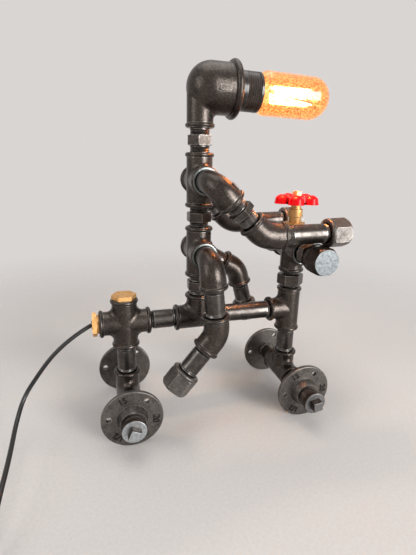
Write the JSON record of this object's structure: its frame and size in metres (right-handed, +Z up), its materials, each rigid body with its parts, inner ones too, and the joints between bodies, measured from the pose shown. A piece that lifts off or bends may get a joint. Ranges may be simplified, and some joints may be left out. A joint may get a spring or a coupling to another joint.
{
  "type": "industrial pipe table lamp",
  "caption": "Table lamp of iron pipe fittings shaped as a rider on a wheeled frame, with swinging limbs, a turning head with a tubular filament bulb and a red handwheel switch.",
  "frame": {"origin": "on the table, under the middle of the lamp's length and width, measured without the mains cord, its coil and its plug", "axes": "+X the way the figure rides and looks, +Y to its left, +Z up"},
  "size_m": [0.4434, 0.3409, 0.398],
  "materials": {
    "cast_iron": "oiled dark malleable cast iron with a fine cast grain",
    "pipe_steel": "polished dark steel nipples and pipe",
    "bright_steel": "bright worn steel caps and plugs",
    "brass": "satin brass",
    "red_paint": "glossy red enamel",
    "black_plastic": "black moulded plastic",
    "bulb_glass": "clear amber glass",
    "glass_stem": "clear glass",
    "filament": "drawn filament wire",
    "cable_sheath": "black cable sheath"
  },
  "bodies": {
    "frame": {"rear_cross": "cast_iron", "rear_top_plug": "brass", "rear_cable_plug": "brass", "cable_bush": "cable_sheath", "column_nipples": "pipe_steel", "rear_axle_tee": "cast_iron", "front_axle_tee": "cast_iron", "axle_nipples": "pipe_steel", "wheel_rear_right": "cast_iron", "wheel_rear_left": "cast_iron", "wheel_front_right": "cast_iron", "wheel_front_left": "cast_iron", "wheel_plugs": "bright_steel", "rear_frame_nipple": "pipe_steel", "seat_tee": "cast_iron", "frame_pipe": "pipe_steel", "fork_tee": "cast_iron", "fork_hexagon_nipple": "cast_iron", "handlebar_cross": "cast_iron", "handlebar_nipples": "cast_iron", "handlebar_caps": "bright_steel", "bonnet_bush": "brass", "valve_bonnet": "brass", "rotary_switch": "black_plastic", "torso_hexagon_nipples": "cast_iron", "hip_cross": "cast_iron", "shoulder_cross": "cast_iron", "frame_lead": "cable_sheath", "switch_lead": "cable_sheath", "mains_cord": "cable_sheath", "cord_coil": "cable_sheath", "cord_tie": "cable_sheath", "mains_plug": "black_plastic"},
    "head": {"head_elbow": "cast_iron", "lampholder": "black_plastic", "lampholder_contacts": "brass", "bulb_glass": "bulb_glass", "bulb_cap": "brass", "bulb_stem": "glass_stem", "bulb_filament": "filament", "head_lead": "cable_sheath"},
    "switch_wheel": {"handwheel": "red_paint", "switch_spindle": "brass", "handwheel_nut": "brass"},
    "right_arm": {"right_shoulder_elbow": "cast_iron", "right_arm_nipples": "pipe_steel", "right_arm_elbow": "cast_iron", "right_hand_cap": "cast_iron"},
    "right_leg": {"right_hip_elbow": "cast_iron", "right_leg_nipples": "pipe_steel", "right_knee_elbow": "cast_iron", "right_foot_cap": "cast_iron"},
    "left_arm": {"left_shoulder_elbow": "cast_iron", "left_arm_nipples": "pipe_steel", "left_arm_elbow": "cast_iron", "left_hand_cap": "cast_iron"},
    "left_leg": {"left_hip_elbow": "cast_iron", "left_leg_nipples": "pipe_steel", "left_knee_elbow": "cast_iron", "left_foot_cap": "cast_iron"}
  },
  "joints": [
    {"name": "head_turn", "type": "hinge", "parent": "frame", "child": "head", "pos_m": [-0.01525, 0, 0.3307], "axis": [0, 0, 1], "range_deg": [-90, 90]},
    {"name": "switch_turn", "type": "hinge", "parent": "frame", "child": "switch_wheel", "pos_m": [0.10405, 0, 0.2486], "axis": [0, 0, 1], "range_deg": [-90, 0]},
    {"name": "right_arm_swing", "type": "hinge", "parent": "frame", "child": "right_arm", "pos_m": [-0.01525, -0.0285, 0.278], "axis": [0, 1, 0], "range_deg": [-75, 0]},
    {"name": "left_arm_swing", "type": "hinge", "parent": "frame", "child": "left_arm", "pos_m": [-0.01525, 0.0285, 0.278], "axis": [0, 1, 0], "range_deg": [-75, 0]},
    {"name": "right_leg_swing", "type": "hinge", "parent": "frame", "child": "right_leg", "pos_m": [-0.01525, -0.0285, 0.1998], "axis": [0, 1, 0], "range_deg": [-60, 5]},
    {"name": "left_leg_swing", "type": "hinge", "parent": "frame", "child": "left_leg", "pos_m": [-0.01525, 0.0285, 0.1998], "axis": [0, 1, 0], "range_deg": [-10, 60]}
  ]
}
